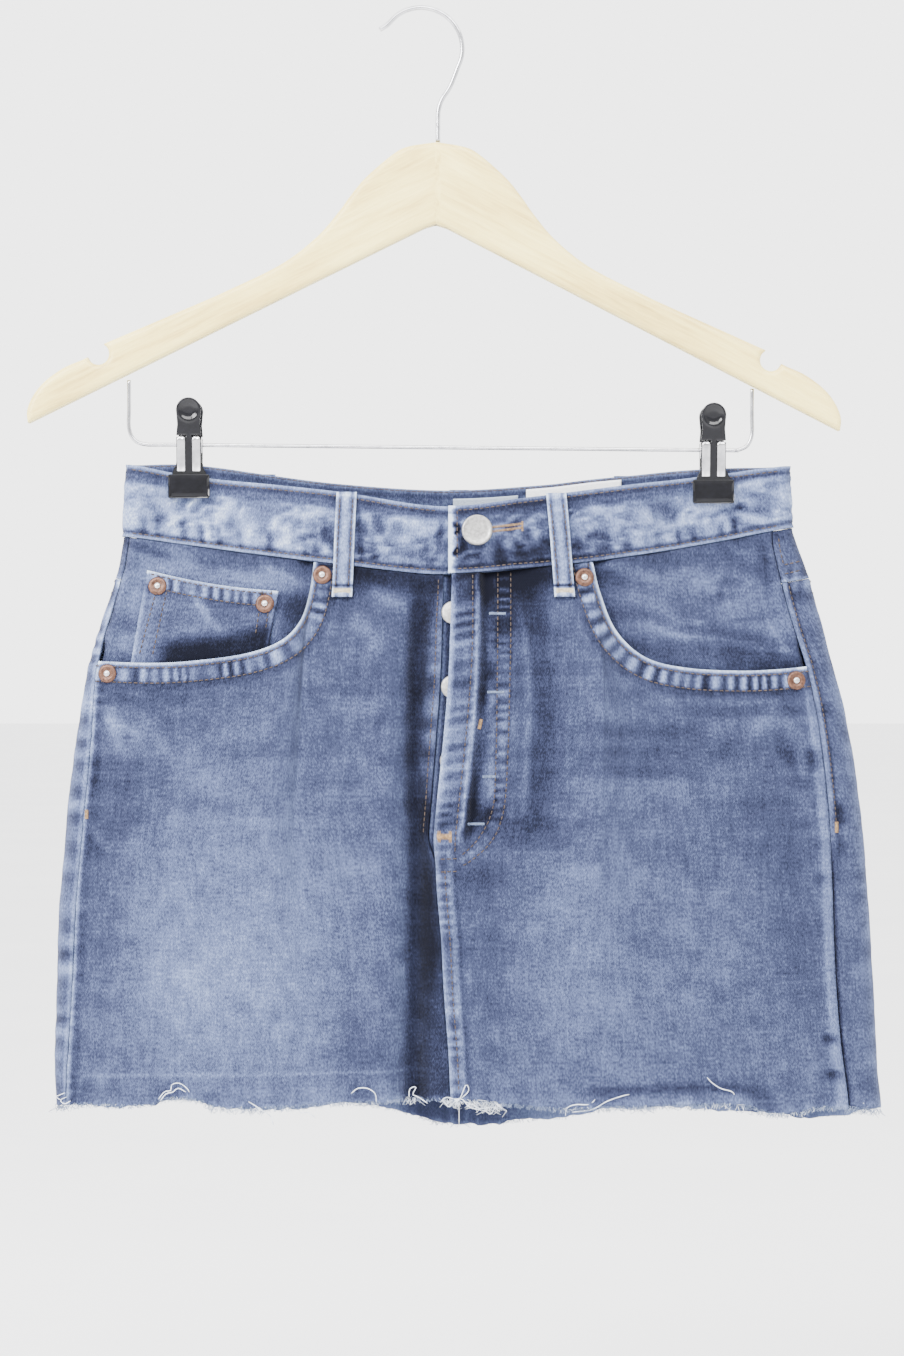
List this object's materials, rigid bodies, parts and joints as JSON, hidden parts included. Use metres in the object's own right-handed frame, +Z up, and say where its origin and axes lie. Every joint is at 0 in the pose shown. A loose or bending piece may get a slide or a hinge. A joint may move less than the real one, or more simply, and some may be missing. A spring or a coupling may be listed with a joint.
{
  "type": "denim skirt on a clip hanger",
  "caption": "Short denim skirt with raw hem, button fly, scooped pockets and belt loops, hung by two clips from a wooden hanger with a wire hook.",
  "frame": {"origin": "inside top of the wire hook, where it rests on a rail", "axes": "+Z up along the hook's stem, -Y out of the skirt's front, +X to the right as seen from the front"},
  "size_m": [0.4666, 0.0613, 0.6176],
  "materials": {
    "denim": "stone washed blue twill, faded at the seams",
    "label_grey": "woven tape, blank",
    "label_white": "woven tape, blank",
    "rivet_copper": "worn copper",
    "button_metal": "dull silver",
    "hanger_wood": "pale beech, clear satin",
    "hanger_wire": "bright plated wire",
    "clip_black": "black, satin gloss",
    "clip_chrome": "bright plated spring steel"
  },
  "bodies": {
    "root": {"waistband": "denim", "front_left": "denim", "front_right": "denim", "fly_underlap": "denim", "pocket_facing_left": "denim", "pocket_facing_right": "denim", "coin_pocket": "denim", "back_left": "denim", "yoke_left": "denim", "back_right": "denim", "yoke_right": "denim", "belt_loop_front_left": "denim", "belt_loop_front_right": "denim", "belt_loop_back_left": "denim", "belt_loop_back_centre": "denim", "belt_loop_back_right": "denim", "label_grey": "label_grey", "label_white": "label_white", "rivet_left_inner": "rivet_copper", "rivet_left_outer": "rivet_copper", "rivet_right_inner": "rivet_copper", "rivet_right_outer": "rivet_copper", "rivet_coin_left": "rivet_copper", "rivet_coin_right": "rivet_copper", "waist_button": "button_metal", "fly_button_top": "button_metal", "fly_button_middle": "button_metal", "fly_button_bottom": "button_metal", "hanger_wood": "hanger_wood", "hanger_hook": "hanger_wire", "clip_bar": "hanger_wire", "clip_left_front_jaw": "clip_black", "clip_left_back_jaw": "clip_black", "clip_left_spring": "clip_chrome", "clip_right_front_jaw": "clip_black", "clip_right_back_jaw": "clip_black", "clip_right_spring": "clip_chrome"}
  },
  "joints": []
}
